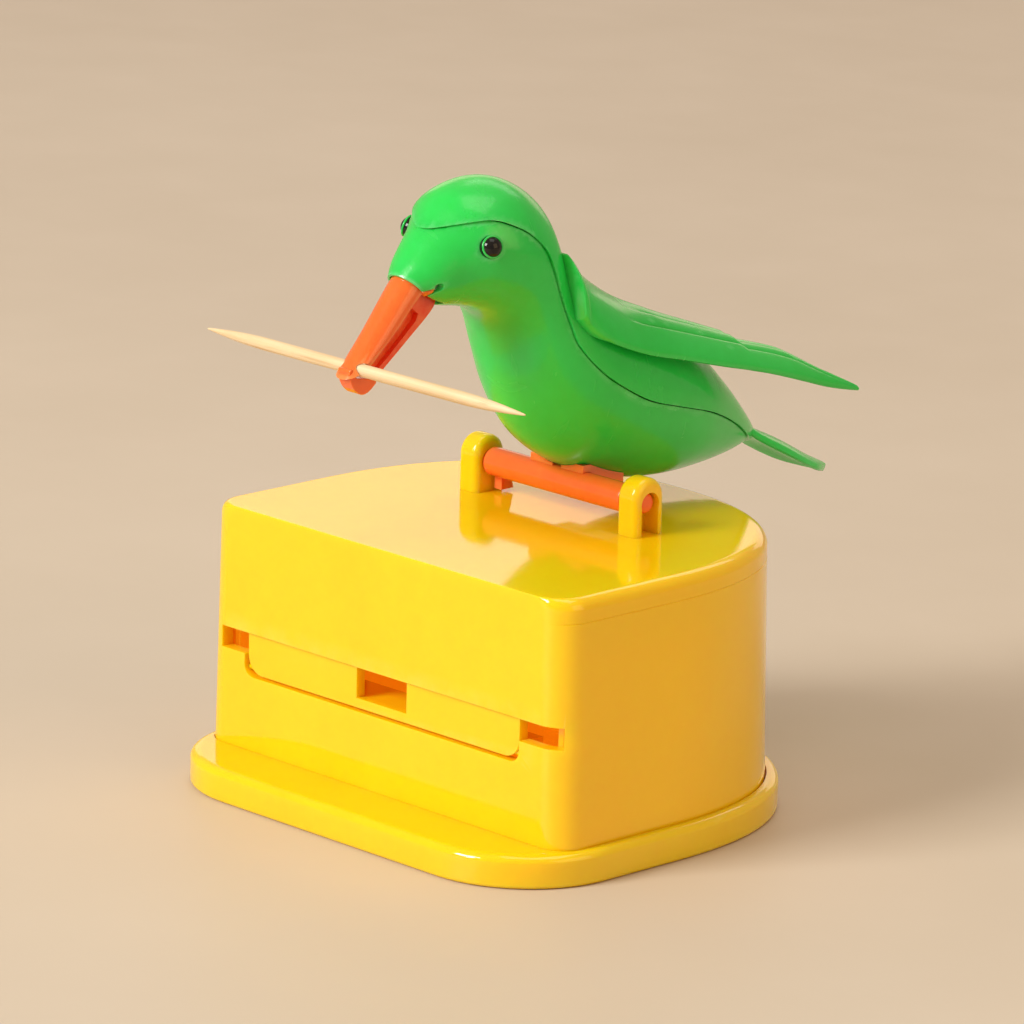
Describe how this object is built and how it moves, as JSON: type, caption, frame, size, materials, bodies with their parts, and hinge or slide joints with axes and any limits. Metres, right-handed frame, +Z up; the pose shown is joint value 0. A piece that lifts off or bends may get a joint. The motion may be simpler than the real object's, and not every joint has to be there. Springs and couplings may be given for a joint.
{
  "type": "bird toothpick dispenser",
  "caption": "Toothpick dispenser: a bird on a perch over a D-shaped box pecks down through a notched front slot and holds a toothpick in its beak.",
  "frame": {"origin": "middle of the base tray's flat underside, on the table", "axes": "+X to the bird's right-hand side as seen from the front slot, +Y from the front slot towards the bird's tail, +Z up"},
  "size_m": [0.0788, 0.1001, 0.0926],
  "materials": {
    "yellow_plastic": "gloss injection moulding",
    "green_plastic": "satin injection moulding",
    "orange_plastic": "gloss injection moulding",
    "eye_black": "gloss black",
    "toothpick_wood": "bare pale wood",
    "steel": "plain"
  },
  "bodies": {
    "base": {"base_tray": "yellow_plastic", "base_screw_1": "steel", "base_screw_2": "steel", "base_screw_3": "steel", "base_screw_4": "steel", "hopper_ramp": "yellow_plastic", "hopper_cheek_left": "yellow_plastic", "hopper_cheek_right": "yellow_plastic", "hopper_back": "yellow_plastic"},
    "box": {"housing": "yellow_plastic"},
    "gate": {"pick_gate": "yellow_plastic"},
    "bird": {"perch_shaft": "orange_plastic", "perch_foot_left": "orange_plastic", "perch_foot_right": "orange_plastic", "bird_body": "green_plastic", "bird_cap": "green_plastic", "wing_left": "green_plastic", "wing_right": "green_plastic", "upper_beak": "orange_plastic", "beak_pin": "steel", "beak_spring": "steel", "eye_left": "eye_black", "eye_right": "eye_black", "tail_weight": "steel"},
    "beak": {"lower_beak": "orange_plastic"},
    "toothpick": {"held_toothpick": "toothpick_wood"}
  },
  "joints": [
    {"name": "box_lift", "type": "slide", "parent": "base", "child": "box", "axis": [0, 0, 1], "range_m": [0, 0.05]},
    {"name": "gate_tip", "type": "hinge", "parent": "box", "child": "gate", "pos_m": [0, -0.02495, 0.0172], "axis": [1, 0, 0], "range_deg": [0, 20]},
    {"name": "bird_peck", "type": "hinge", "parent": "box", "child": "bird", "pos_m": [0, 0.0088, 0.0454], "axis": [1, 0, 0], "range_deg": [0, 60]},
    {"name": "beak_open", "type": "hinge", "parent": "bird", "child": "beak", "pos_m": [0, -0.0206, 0.0788], "axis": [1, 0, 0], "range_deg": [0, 5], "stiffness_Nm_per_rad": 0.001, "springref_deg": -5.73},
    {"name": "toothpick_slide", "type": "slide", "parent": "bird", "child": "toothpick", "axis": [1, 0, 0], "range_m": [-0.015, 0.015]}
  ]
}
